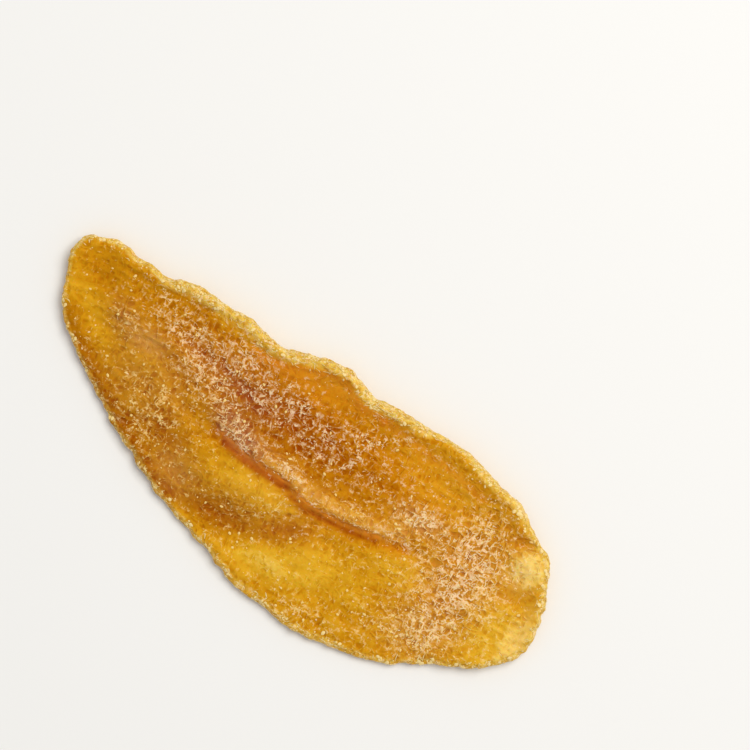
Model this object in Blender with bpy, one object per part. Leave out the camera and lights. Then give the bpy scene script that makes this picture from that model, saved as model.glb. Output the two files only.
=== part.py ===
"""Dried mango slice, lying flat, as one closed wavy solid.

A flat grid is stretched over the outline of the slice, in two patches that meet along its
spine. Extruding the grid gives the slice its two faces, split alike, and each face is
lifted to its own height. The upper height is a sloping body with the named forms of the
slice laid over it: the folded ridge and its crease, the swellings and hollows, the furrows,
and the lip along the thick edge.

+X runs along the slice from its narrow tip to its broad end, +Y runs from the thin edge
to the thick lipped edge, and +Z is up. Lengths below are in millimetres, angles in degrees.
"""

import math
from typing import NamedTuple

import bmesh
import bpy
import numpy as np
from mathutils import Vector, noise

MM = 0.001


class Sides(NamedTuple):
    """One value for each side of the slice."""

    thick_edge: float
    thin_edge: float
    tip: float
    broad_end: float


class Waves(NamedTuple):
    """Uneven waves: their height, how far apart they are, and which layer of noise they use."""

    height: float
    length: float
    layer: float


class Fade(NamedTuple):
    """The shares between which something fades in or out."""

    start: float
    end: float


class Swelling(NamedTuple):
    """A rounded rise of the upper face, or a hollow where the rise is negative."""

    centre: tuple
    half_length: float
    half_width: float
    turn: float
    rise: float


class Furrow(NamedTuple):
    """A narrow groove along a path, or a low crest where the rise is positive."""

    path: list
    reach: float
    rise: float


# Grid over the outline: quads along the slice, and quads across each half of it. The grid
# is closer together near the places below, each given as (share, reach, extra density).
COLUMNS = 84
HALF_ROWS = 17
COLUMN_CROWDS = [(0.0, 0.02, 1.6), (1.0, 0.02, 1.6)]
THIN_HALF_CROWDS = [(0.0, 0.07, 1.8), (0.93, 0.16, 1.5)]
THICK_HALF_CROWDS = [(0.05, 0.14, 1.2), (1.0, 0.10, 1.8)]

# Outline, clockwise from the narrow tip's lower corner, by the points that it passes through
LEFT_END = [(-57.2, 0.4), (-60.6, 6.2), (-62.9, 11.4), (-62.6, 14.8)]
UPPER_SIDE = [
    (-60.6, 16.6), (-55.8, 18.8), (-50.5, 18.2), (-46.1, 19.0), (-43.6, 18.5), (-37.9, 20.5),
    (-30.2, 21.2), (-24.3, 21.8), (-16.5, 20.9), (-11.3, 22.0), (-6.5, 24.1), (0.2, 25.2),
    (3.2, 24.7), (5.6, 23.4), (11.3, 24.4), (19.8, 25.2), (28.4, 25.7), (38.5, 24.2),
    (45.6, 22.8), (50.6, 19.9), (54.3, 18.4),
]
RIGHT_END = [(57.4, 16.1), (58.7, 13.4), (61.4, 8.8), (63.3, 2.0), (62.6, -3.3)]
LOWER_SIDE = [
    (58.9, -8.1), (54.0, -12.2), (46.2, -16.3), (43.8, -18.5), (37.2, -22.2), (29.6, -24.0),
    (22.5, -25.9), (13.0, -25.8), (5.0, -25.2), (0.4, -24.4), (-2.2, -23.2), (-10.4, -21.6),
    (-19.9, -19.0), (-28.6, -15.4), (-34.0, -13.5), (-41.9, -9.4), (-50.2, -5.0),
]
SAMPLES_PER_SPAN = 12
EDGE_KNOBS = Waves(0.35, 2.6, 11.0)

# Where the values of the four sides blend, as shares along the slice and across it
THIN_TO_THICK_EDGE = Fade(0.25, 0.75)
TIP_TO_MIDDLE = Fade(0.0, 0.14)
MIDDLE_TO_BROAD_END = Fade(0.88, 1.0)

# Body without its forms: its upper face slopes up from the thin edge to the thick one, and
# drops towards the narrow tip and the thin edge
BODY_TOP = 3.7
BODY_SLOPE = 0.052
TIP_DROP = 0.9
TIP_DROP_FADE = Fade(0.0, 0.22)
EDGE_THINNING = 0.9
EDGE_THINNING_REACH = 5.0
EDGE_THINNING_FADE = Fade(0.3, 0.6)
BODY_WAVES = Waves(0.42, 13.0, 5.0)
PUCKERS = Waves(0.34, 5.0, 7.0)

# Dried ripples run along the flank on the thin-edge side, tilted up towards the broad end
RIPPLES = Waves(0.34, 3.4, 31.0)
RIPPLE_STRETCH = 3.2
RIPPLE_TILT = 12.0
RIPPLE_SHARE_BEYOND_SPINE = 0.3
RIPPLE_FADE = Fade(0.42, 0.6)

# The edges curl up off the surface that the slice lies on
CURL = Sides(thick_edge=1.9, thin_edge=0.8, tip=1.6, broad_end=1.1)
CURL_REACH = 10.0
CURL_POWER = 1.75
CURL_WAVES = Waves(0.35, 21.0, 3.0)
CURL_SHARE_OF_UPPER_FACE = 0.8

# Rounding of the edge: how far in it reaches, the share of the thickness left as a wall, and
# how high up the thickness the outline runs
ROUNDING = Sides(thick_edge=2.4, thin_edge=1.5, tip=1.7, broad_end=1.8)
WALL_SHARE = 0.22
OUTLINE_HEIGHT_SHARE = 0.46

# The folded ridge: a roll that leans over a crease on its thin-edge side, with a dip on the
# other. A low tail leads into it from the narrow tip, and both crests form the spine.
RIDGE_TAIL = [(-47.0, 8.0), (-36.0, 8.2), (-28.0, 6.2)]
RIDGE_CREST = [
    (-21.0, 3.0), (-14.0, 1.2), (-8.0, 0.4), (-2.0, 0.5), (2.0, 0.9), (5.5, -0.4),
    (10.0, -0.5), (15.0, 0.5), (20.0, 1.4), (25.0, 2.8), (30.0, 3.9), (36.0, 4.9), (43.0, 5.0),
]
RIDGE_HEIGHT = 1.5
RIDGE_FADE_IN = Fade(0.0, 0.25)
RIDGE_FADE_OUT = Fade(0.58, 1.0)
RIDGE_UPPER_REACH = 2.4
RIDGE_UPPER_STEEPNESS = 2.4
RIDGE_LOWER_REACH = 1.95
RIDGE_LOWER_STEEPNESS = 3.2
RIDGE_WAVES = Waves(0.3, 4.5, 23.0)
RIDGE_LEAN = 0.45
LEAN_OFFSET = -1.0
LEAN_REACH = 1.3
CREASE_DEPTH = 0.35
CREASE_OFFSET = -2.3
CREASE_REACH = 0.6
DIP_DEPTH = 0.4
DIP_OFFSET = 3.2
DIP_REACH = 1.1
TAIL_HEIGHT = 0.55
TAIL_REACH = 2.0
TAIL_FADE_IN = Fade(0.0, 0.25)
TAIL_FADE_OUT = Fade(0.7, 1.0)

# Lip along the edges: its crest lies this far in from the outline
LIP_HEIGHT = Sides(thick_edge=0.8, thin_edge=0.25, tip=0.3, broad_end=0.35)
LIP_INSET = 1.5
LIP_REACH = 1.15
LIP_WAVES = Waves(0.5, 5.5, 17.0)

SWELLINGS = {
    "yellow bulge": Swelling((-4.5, -7.8), 10.5, 3.8, 12, 1.75),
    "trough beyond the bulge": Swelling((-6.0, -16.0), 13.0, 3.0, 8, -0.9),
    "pocket": Swelling((-18.8, -13.2), 3.2, 2.0, -15, -0.55),
    "golden dome": Swelling((14.0, -15.0), 9.5, 4.8, 16, 1.05),
    "hollow beside the bulge": Swelling((8.0, -8.6), 5.0, 2.4, 40, -0.7),
    "hollow in the dome": Swelling((22.5, -15.0), 4.0, 2.2, 20, -0.40),
    "swelling below the crease": Swelling((30.0, -3.0), 7.0, 3.0, 18, 0.60),
    "basin in the lobe": Swelling((-1.0, 18.8), 9.0, 3.4, 4, -0.6),
    "arch of the lobe": Swelling((-2.5, 24.0), 8.0, 1.6, 4, 0.60),
    "middle band": Swelling((2.0, 9.5), 22.0, 5.0, 3, -0.45),
    "dimple": Swelling((-38.6, 5.2), 2.6, 1.7, 10, -0.95),
    "brow of the dimple": Swelling((-36.8, 2.0), 4.0, 1.6, 10, 0.35),
    "hollow in the tip": Swelling((-53.6, 11.3), 4.6, 3.3, -10, -0.75),
    "hump behind the tip": Swelling((-46.5, 8.0), 4.5, 3.4, -8, 0.50),
    "frosted hump": Swelling((28.5, 8.2), 5.0, 2.8, 12, 0.60),
    "smooth orange hollow": Swelling((29.0, 18.0), 8.0, 3.4, -8, -0.55),
    "broad end": Swelling((45.0, 1.5), 9.0, 9.0, 0, 0.45),
    "notch pit": Swelling((50.6, 17.6), 1.7, 1.1, -20, -1.15),
    "end lobe": Swelling((53.4, 13.8), 3.2, 2.4, -20, 0.85),
    "end hollow": Swelling((55.6, 7.4), 3.4, 2.4, -30, -0.65),
    "low corner": Swelling((41.5, -15.6), 5.0, 2.6, 30, -0.40),
    "left flank": Swelling((-31.0, -5.5), 7.0, 4.0, -10, 0.45),
}

FURROW_FADE_IN = Fade(0.0, 0.35)
FURROW_FADE_OUT = Fade(0.65, 1.0)
FURROWS = {
    "beyond the tail": Furrow([(-38.0, 10.4), (-27.0, 10.3), (-18.0, 9.4), (-9.0, 6.4)], 1.0, -0.6),
    "groove at the thin edge": Furrow([(-36.0, -14.2), (-32.0, -10.4), (-27.5, -7.0)], 1.0, -0.6),
    "notch crease": Furrow([(46.5, 16.4), (51.5, 17.8), (57.0, 17.0)], 1.0, -0.9),
    "second edge crest": Furrow([(6.0, 22.4), (13.0, 23.5), (23.5, 22.2)], 1.0, 0.6),
    "fold beside the dome": Furrow([(9.0, -4.5), (5.0, -9.5), (0.0, -14.0), (-5.0, -19.5)], 1.4, -0.6),
    "crease of the broad end": Furrow([(26.0, 1.0), (34.0, 2.6), (46.0, 3.0)], 1.0, -0.5),
    "wrinkle before the bulge": Furrow([(-32.0, 1.4), (-22.0, -1.8), (-13.0, -3.2)], 1.1, -0.45),
    "crest along that wrinkle": Furrow([(-32.0, -1.2), (-24.0, -4.0), (-15.0, -6.4)], 1.5, 0.4),
    "furrow in the middle band": Furrow([(2.0, 6.2), (12.0, 5.4), (24.0, 7.6)], 1.0, -0.35),
    "crest at the thin edge": Furrow([(-16.0, -18.6), (-4.0, -20.8), (8.0, -22.6)], 1.3, 0.45),
    "crest in the dome": Furrow([(4.0, -12.6), (14.0, -10.2), (26.0, -9.0)], 1.2, 0.35),
}


def smooth_path(points, closed=False):
    """Return places along the curve that passes smoothly through the given points."""
    knots = np.array(points, float)
    before = np.roll(knots, 1, axis=0)
    after = np.roll(knots, -1, axis=0)
    if not closed:
        before[0] = 2 * knots[0] - knots[1]
        after[-1] = 2 * knots[-1] - knots[-2]
    slopes = (after - before) / 2
    next_knots = np.roll(knots, -1, axis=0)
    next_slopes = np.roll(slopes, -1, axis=0)
    spans = len(knots) if closed else len(knots) - 1
    share = (np.arange(SAMPLES_PER_SPAN) / SAMPLES_PER_SPAN)[:, None]
    pieces = []
    for span in range(spans):
        pieces.append(
            (2 * share**3 - 3 * share**2 + 1) * knots[span]
            + (share**3 - 2 * share**2 + share) * slopes[span]
            + (3 * share**2 - 2 * share**3) * next_knots[span]
            + (share**3 - share**2) * next_slopes[span]
        )
    last = knots[:1] if closed else knots[-1:]
    return np.concatenate([*pieces, last])


def places_along(path, shares):
    """Return the places at the given shares of the path's length."""
    steps = np.linalg.norm(np.diff(path, axis=0), axis=1)
    run = np.concatenate([[0.0], np.cumsum(steps)])
    return np.stack([np.interp(shares, run / run[-1], path[:, axis]) for axis in (0, 1)], axis=1)


def halves(path):
    """Return the first and the second half of a path, which share their middle place."""
    middle = len(path) // 2
    return path[: middle + 1], path[middle:]


def crowded_shares(count, crowds):
    """Return count + 1 shares from 0 to 1, closer together near each crowd."""
    fine = np.linspace(0.0, 1.0, 2001)
    density = np.ones_like(fine)
    for share, reach, extra in crowds:
        density += extra * bell(fine - share, reach)
    filled = np.concatenate([[0.0], np.cumsum((density[1:] + density[:-1]) / 2)])
    return np.interp(np.linspace(0.0, 1.0, count + 1), filled / filled[-1], fine)


def waves_at(waves, x, y):
    """Return the height of the waves at each place, about zero."""
    places = zip(x / waves.length, y / waves.length)
    return waves.height * np.array([noise.noise(Vector((a, b, waves.layer))) for a, b in places])


def eased(fade, value):
    """Return a smooth step from 0 where the fade starts to 1 where it ends."""
    share = np.clip((value - fade.start) / (fade.end - fade.start), 0.0, 1.0)
    return share * share * (3 - 2 * share)


def bell(distance, reach):
    """Return 1 at no distance, falling off smoothly over the reach."""
    return np.exp(-((distance / reach) ** 2))


class Patch(NamedTuple):
    """A four-sided patch between curves: two run along the slice, and two across it."""

    lower: np.ndarray
    upper: np.ndarray
    left: np.ndarray
    right: np.ndarray

    def places(self, along, across):
        """Return the places that fill the patch, for shares along and across."""
        lower, upper = places_along(self.lower, along), places_along(self.upper, along)
        left, right = places_along(self.left, across), places_along(self.right, across)
        s, t = along[:, None], across[:, None]
        corners = (1 - s) * ((1 - t) * self.left[0] + t * self.left[-1])
        corners = corners + s * ((1 - t) * self.right[0] + t * self.right[-1])
        return (1 - t) * lower + t * upper + (1 - s) * left + s * right - corners


class Plan:
    """The slice seen from above: its outline, and the two patches on either side of its spine."""

    def __init__(self):
        sides = [LEFT_END, UPPER_SIDE, RIGHT_END, LOWER_SIDE]
        smooth = smooth_path([point for side in sides for point in side], closed=True)
        self.outline = self.with_knobs(smooth)
        starts = np.cumsum([0] + [len(side) * SAMPLES_PER_SPAN for side in sides])
        left, upper, right, lower = [
            self.outline[start : end + 1] for start, end in zip(starts[:-1], starts[1:])
        ]
        left_below, left_above = halves(left)
        right_below, right_above = halves(right[::-1])
        spine = smooth_path([left_above[0], *RIDGE_TAIL, *RIDGE_CREST, right_above[0]])
        self.below_spine = Patch(lower[::-1], spine, left_below, right_below)
        self.above_spine = Patch(spine, upper, left_above, right_above)

    @staticmethod
    def with_knobs(outline):
        """Return the closed outline with small uneven knobs along it."""
        places = outline[:-1]
        ahead = np.roll(places, -1, axis=0) - np.roll(places, 1, axis=0)
        outward = np.stack([-ahead[:, 1], ahead[:, 0]], axis=1)
        outward /= np.linalg.norm(outward, axis=1)[:, None]
        knobbly = places + outward * waves_at(EDGE_KNOBS, *places.T)[:, None]
        return np.concatenate([knobbly, knobbly[:1]])

    def places(self, along, across):
        """Return the places of the grid points, for shares along and across the slice."""
        below = self.below_spine.places(along, np.clip(2 * across, 0.0, 1.0))
        above = self.above_spine.places(along, np.clip(2 * across - 1, 0.0, 1.0))
        return np.where(across[:, None] < 0.5, below, above)

    def inset(self, places):
        """Return how far each place lies in from the outline."""
        nearest = np.full(len(places), np.inf)
        for start, end in zip(self.outline[:-1], self.outline[1:]):
            span = end - start
            share = np.clip((places - start) @ span / max(span @ span, 1e-12), 0.0, 1.0)
            gap = np.linalg.norm(places - start - share[:, None] * span, axis=1)
            nearest = np.minimum(nearest, gap)
        return nearest


def offset_from(path, x, y):
    """Return the signed distance to a path, and the share of its length at the nearest place."""
    line = smooth_path(path)
    away = np.stack([x, y], axis=1)[:, None, :] - line[None, :, :]
    gaps = np.linalg.norm(away, axis=2)
    nearest = gaps.argmin(axis=1)
    away = away[np.arange(len(nearest)), nearest]
    ahead = np.gradient(line, axis=0)[nearest]
    side = np.sign(ahead[:, 0] * away[:, 1] - ahead[:, 1] * away[:, 0])
    return side * gaps.min(axis=1), nearest / (len(line) - 1)


def by_side(values, s, t):
    """Return one value at each grid point, blended from the values of the four sides."""
    rise = values.thick_edge - values.thin_edge
    across = values.thin_edge + rise * eased(THIN_TO_THICK_EDGE, t)
    at_tip = 1 - eased(TIP_TO_MIDDLE, s)
    at_end = eased(MIDDLE_TO_BROAD_END, s)
    between = (1 - at_tip) * (1 - at_end)
    return across * between + values.tip * at_tip + values.broad_end * at_end


def body_height(s, t, x, y, inset):
    """Return the height of the upper face without its named forms."""
    height = BODY_TOP + BODY_SLOPE * y - TIP_DROP * (1 - eased(TIP_DROP_FADE, s))
    thinning = EDGE_THINNING * np.exp(-inset / EDGE_THINNING_REACH)
    height = height - thinning * (1 - eased(EDGE_THINNING_FADE, t))
    return height + waves_at(BODY_WAVES, x, y) + waves_at(PUCKERS, x, y)


def ripple_height(t, x, y):
    """Return the height of the ripples on the flank."""
    tilt = math.radians(RIPPLE_TILT)
    along = (x * math.cos(tilt) + y * math.sin(tilt)) / RIPPLE_STRETCH
    across = y * math.cos(tilt) - x * math.sin(tilt)
    left = 1 - (1 - RIPPLE_SHARE_BEYOND_SPINE) * eased(RIPPLE_FADE, t)
    return waves_at(RIPPLES, along, across) * left


def ridge_left(share):
    """Return how much of the ridge is left at a share of its length."""
    return eased(RIDGE_FADE_IN, share) * (1 - eased(RIDGE_FADE_OUT, share))


def ridge_height(x, y):
    """Return the height of the roll, the crease on one side of it and the dip on the other."""
    offset, share = offset_from(RIDGE_CREST, x, y)
    above = offset > 0
    reach = np.where(above, RIDGE_UPPER_REACH, RIDGE_LOWER_REACH)
    steepness = np.where(above, RIDGE_UPPER_STEEPNESS, RIDGE_LOWER_STEEPNESS)
    roll = RIDGE_HEIGHT * np.exp(-(np.abs(offset / reach) ** steepness))
    roll = roll * (1 + waves_at(RIDGE_WAVES, x, y))
    crease = CREASE_DEPTH * bell(offset - CREASE_OFFSET, CREASE_REACH)
    dip = DIP_DEPTH * bell(offset - DIP_OFFSET, DIP_REACH)
    return (roll - crease - dip) * ridge_left(share)


def leaned(x, y):
    """Return y with the ridge's lower side pushed out over its crease."""
    offset, share = offset_from(RIDGE_CREST, x, y)
    return y - RIDGE_LEAN * bell(offset - LEAN_OFFSET, LEAN_REACH) * ridge_left(share)


def tail_height(x, y):
    """Return the height of the low tail that leads into the ridge from the narrow tip."""
    offset, share = offset_from([*RIDGE_TAIL, *RIDGE_CREST[:3]], x, y)
    left = eased(TAIL_FADE_IN, share) * (1 - eased(TAIL_FADE_OUT, share))
    return TAIL_HEIGHT * bell(offset, TAIL_REACH) * left


def swelling_height(form, x, y):
    """Return the height that a swelling adds at each place."""
    turn = math.radians(form.turn)
    dx, dy = x - form.centre[0], y - form.centre[1]
    along = dx * math.cos(turn) + dy * math.sin(turn)
    across = dy * math.cos(turn) - dx * math.sin(turn)
    return form.rise * bell(along, form.half_length) * bell(across, form.half_width)


def furrow_height(form, x, y):
    """Return the height that a furrow adds at each place, from nothing at its ends."""
    offset, share = offset_from(form.path, x, y)
    left = eased(FURROW_FADE_IN, share) * (1 - eased(FURROW_FADE_OUT, share))
    return form.rise * bell(offset, form.reach) * left


def lip_height(s, t, x, y, inset):
    """Return the height of the lip that runs inside the outline."""
    height = by_side(LIP_HEIGHT, s, t) * (1 + waves_at(LIP_WAVES, x, y))
    return height * bell(inset - LIP_INSET, LIP_REACH)


def face_heights(s, t, x, y, inset):
    """Return the heights of the upper and of the lower face over the same places."""
    curl = by_side(CURL, s, t) * (1 + waves_at(CURL_WAVES, x, y))
    lower = curl * np.clip(1 - inset / CURL_REACH, 0.0, 1.0) ** CURL_POWER

    upper = body_height(s, t, x, y, inset) + CURL_SHARE_OF_UPPER_FACE * lower
    upper = upper + ripple_height(t, x, y) + ridge_height(x, y) + tail_height(x, y)
    upper = upper + lip_height(s, t, x, y, inset)
    upper = upper + sum(swelling_height(form, x, y) for form in SWELLINGS.values())
    upper = upper + sum(furrow_height(form, x, y) for form in FURROWS.values())

    inward = np.clip(inset / by_side(ROUNDING, s, t), 0.0, 1.0)
    rounding = WALL_SHARE + (1 - WALL_SHARE) * np.sqrt(1 - (1 - inward) ** 2)
    outline = lower + OUTLINE_HEIGHT_SHARE * (upper - lower)
    return outline + (upper - outline) * rounding, outline - (outline - lower) * rounding


def grid_shares(sheet):
    """Return each grid point's share along the slice and its share across it."""
    columns = [round((vertex.co.x + 0.5) * COLUMNS) for vertex in sheet.verts]
    rows = [round((vertex.co.y + 0.5) * 2 * HALF_ROWS) for vertex in sheet.verts]
    thin_half = crowded_shares(HALF_ROWS, THIN_HALF_CROWDS) / 2
    thick_half = crowded_shares(HALF_ROWS, THICK_HALF_CROWDS) / 2
    across = np.concatenate([thin_half, 0.5 + thick_half[1:]])
    return crowded_shares(COLUMNS, COLUMN_CROWDS)[columns], across[rows]


def build_sheet():
    """Return the closed mesh of the slice: a grid, extruded, with each face at its height."""
    sheet = bmesh.new()
    bmesh.ops.create_grid(sheet, x_segments=COLUMNS, y_segments=2 * HALF_ROWS, size=0.5)
    s, t = grid_shares(sheet)
    plan = Plan()
    places = plan.places(s, t)
    x, y = places.T
    upper, lower = face_heights(s, t, x, y, plan.inset(places))
    under_places = np.stack([x, y, lower], axis=1)
    over_places = np.stack([x, leaned(x, y), upper], axis=1)

    number = sheet.verts.layers.int.new("number")
    for index, vertex in enumerate(sheet.verts):
        vertex[number] = index
        vertex.co = Vector(under_places[index]) * MM
    made = bmesh.ops.extrude_face_region(sheet, geom=sheet.faces[:], use_keep_orig=True)
    for item in made["geom"]:
        if isinstance(item, bmesh.types.BMVert):
            item.co = Vector(over_places[item[number]]) * MM
    bmesh.ops.recalc_face_normals(sheet, faces=sheet.faces[:])
    bmesh.ops.triangulate(sheet, faces=sheet.faces[:], quad_method="FIXED")
    return sheet


def centre_on_floor(sheet):
    """Move the mesh so that the middle of its box's underside is the origin."""
    places = np.array([vertex.co[:] for vertex in sheet.verts])
    low, high = places.min(axis=0), places.max(axis=0)
    middle = (low + high) / 2
    bmesh.ops.translate(sheet, verts=sheet.verts[:], vec=Vector((-middle[0], -middle[1], -low[2])))


def flesh_material():
    """Return the soft, faintly glossy amber flesh of the slice."""
    material = bpy.data.materials.new("mango_flesh")
    material.use_nodes = True
    shader = material.node_tree.nodes["Principled BSDF"]
    shader.inputs["Base Color"].default_value = (0.62, 0.26, 0.025, 1.0)
    shader.inputs["Roughness"].default_value = 0.45
    shader.inputs["Metallic"].default_value = 0.0
    return material


def clear_scene():
    """Remove every object of the scene."""
    for item in list(bpy.data.objects):
        bpy.data.objects.remove(item, do_unlink=True)


def main():
    """Build the slice in a collection of its own."""
    clear_scene()
    collection = bpy.data.collections.new("dried_mango_slice")
    bpy.context.scene.collection.children.link(collection)

    sheet = build_sheet()
    centre_on_floor(sheet)
    mesh = bpy.data.meshes.new("mango_slice")
    sheet.to_mesh(mesh)
    sheet.free()
    mesh.materials.append(flesh_material())
    collection.objects.link(bpy.data.objects.new("mango_slice", mesh))


main()
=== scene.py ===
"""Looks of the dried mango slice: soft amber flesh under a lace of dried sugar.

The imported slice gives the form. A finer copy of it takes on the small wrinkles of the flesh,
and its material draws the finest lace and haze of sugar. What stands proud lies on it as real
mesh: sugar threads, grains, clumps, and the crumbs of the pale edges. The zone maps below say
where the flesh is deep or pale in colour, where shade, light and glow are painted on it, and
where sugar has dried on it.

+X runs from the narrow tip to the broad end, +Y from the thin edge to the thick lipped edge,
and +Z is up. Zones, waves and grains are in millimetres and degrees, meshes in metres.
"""

import logging
import math
from dataclasses import astuple, dataclass, field
from enum import Enum

import bpy
import numpy as np
from mathutils import Euler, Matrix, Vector, noise
from mathutils.bvhtree import BVHTree
from mathutils.kdtree import KDTree


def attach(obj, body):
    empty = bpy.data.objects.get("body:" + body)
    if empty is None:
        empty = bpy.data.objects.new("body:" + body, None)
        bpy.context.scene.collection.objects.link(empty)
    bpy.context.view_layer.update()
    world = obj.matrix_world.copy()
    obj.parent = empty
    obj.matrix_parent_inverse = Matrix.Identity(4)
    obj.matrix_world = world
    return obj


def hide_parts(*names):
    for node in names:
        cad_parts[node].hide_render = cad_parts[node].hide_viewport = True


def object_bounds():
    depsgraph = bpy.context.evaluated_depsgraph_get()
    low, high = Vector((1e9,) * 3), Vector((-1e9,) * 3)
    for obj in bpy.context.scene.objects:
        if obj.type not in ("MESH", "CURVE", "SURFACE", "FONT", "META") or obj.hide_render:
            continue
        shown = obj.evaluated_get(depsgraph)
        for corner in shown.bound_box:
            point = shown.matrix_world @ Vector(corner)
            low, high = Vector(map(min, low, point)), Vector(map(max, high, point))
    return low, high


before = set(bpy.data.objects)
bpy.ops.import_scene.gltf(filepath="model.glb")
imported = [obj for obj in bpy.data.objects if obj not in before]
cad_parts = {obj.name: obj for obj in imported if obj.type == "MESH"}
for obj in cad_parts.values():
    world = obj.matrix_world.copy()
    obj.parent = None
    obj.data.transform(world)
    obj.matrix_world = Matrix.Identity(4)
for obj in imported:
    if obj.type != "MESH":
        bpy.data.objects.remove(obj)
cad_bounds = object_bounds()

logging.basicConfig(level=logging.INFO, format="%(message)s")
log = logging.getLogger("mango slice")

Socket = bpy.types.NodeSocket

MM = 0.001
TINY = 1e-9
NODE = "mango_slice"


def eased(start: float, end: float, value: np.ndarray) -> np.ndarray:
    """Return a smooth step from 0 at start to 1 at end."""
    share = np.clip((value - start) / (end - start), 0.0, 1.0)
    return share * share * (3 - 2 * share)


def select_only(piece: bpy.types.Object) -> None:
    """Deselect everything, then select one piece and make it the active one.

    Args:
        piece: The piece.
    """
    bpy.ops.object.select_all(action="DESELECT")
    piece.select_set(True)
    bpy.context.view_layer.objects.active = piece


def gaps_to_path(path: tuple, x: np.ndarray, y: np.ndarray) -> np.ndarray:
    """Return the distance of each place from a path of straight spans.

    Args:
        path: The corners of the path, in millimetres.
        x: The places' first coordinates.
        y: The places' second coordinates.

    Returns:
        One distance for each place.
    """
    places = np.stack([x, y], axis=1)
    corners = np.array(path, float)
    nearest = np.full(len(places), np.inf)
    for start, end in zip(corners[:-1], corners[1:]):
        span = end - start
        share = np.clip((places - start) @ span / (span @ span), 0.0, 1.0)
        gap = np.linalg.norm(places - start - share[:, None] * span, axis=1)
        nearest = np.minimum(nearest, gap)
    return nearest


@dataclass(frozen=True)
class Spot:
    """A rounded zone of the slice, seen from above: its middle, its half length and half width,
    how far it is turned, what it adds in its middle, and how evenly it does so."""

    x: float
    y: float
    half_length: float
    half_width: float
    turn: float
    amount: float
    evenness: float = 1.4

    def at(self, x: np.ndarray, y: np.ndarray) -> np.ndarray:
        """Return what the spot adds at each place.

        Args:
            x: The places' first coordinates.
            y: The places' second coordinates.

        Returns:
            One value for each place.
        """
        turn = math.radians(self.turn)
        dx = x - self.x
        dy = y - self.y
        along = (dx * math.cos(turn) + dy * math.sin(turn)) / self.half_length
        across = (dy * math.cos(turn) - dx * math.sin(turn)) / self.half_width
        return self.amount * np.exp(-((along**2 + across**2) ** self.evenness))


@dataclass(frozen=True)
class Streak:
    """A narrow zone over the slice, seen from above: its path, how far it reaches to each side
    and what it adds on the path."""

    path: tuple
    reach: float
    amount: float

    def at(self, x: np.ndarray, y: np.ndarray) -> np.ndarray:
        """Return what the streak adds at each place."""
        return self.amount * np.exp(-((gaps_to_path(self.path, x, y) / self.reach) ** 2))


@dataclass(frozen=True)
class ZoneMap:
    """A value between 0 and 1 over the whole slice: a base and the zones laid over it."""

    base: float
    zones: tuple

    def at(self, x: np.ndarray, y: np.ndarray) -> np.ndarray:
        """Return the value at each place."""
        return np.clip(self.base + sum(zone.at(x, y) for zone in self.zones), 0.0, 1.0)


# Paths that several zones share: along the top of the ridge, and along the lip's inner wall
RIDGE_TOP = ((-12.0, 1.0), (2.0, 0.7), (6.0, -0.4), (14.0, 0.2), (20.0, 1.4), (28.0, 3.6))
LIP_WALL = ((-20.0, 17.2), (-13.0, 18.2), (-9.0, 20.0), (-4.0, 22.2))

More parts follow.
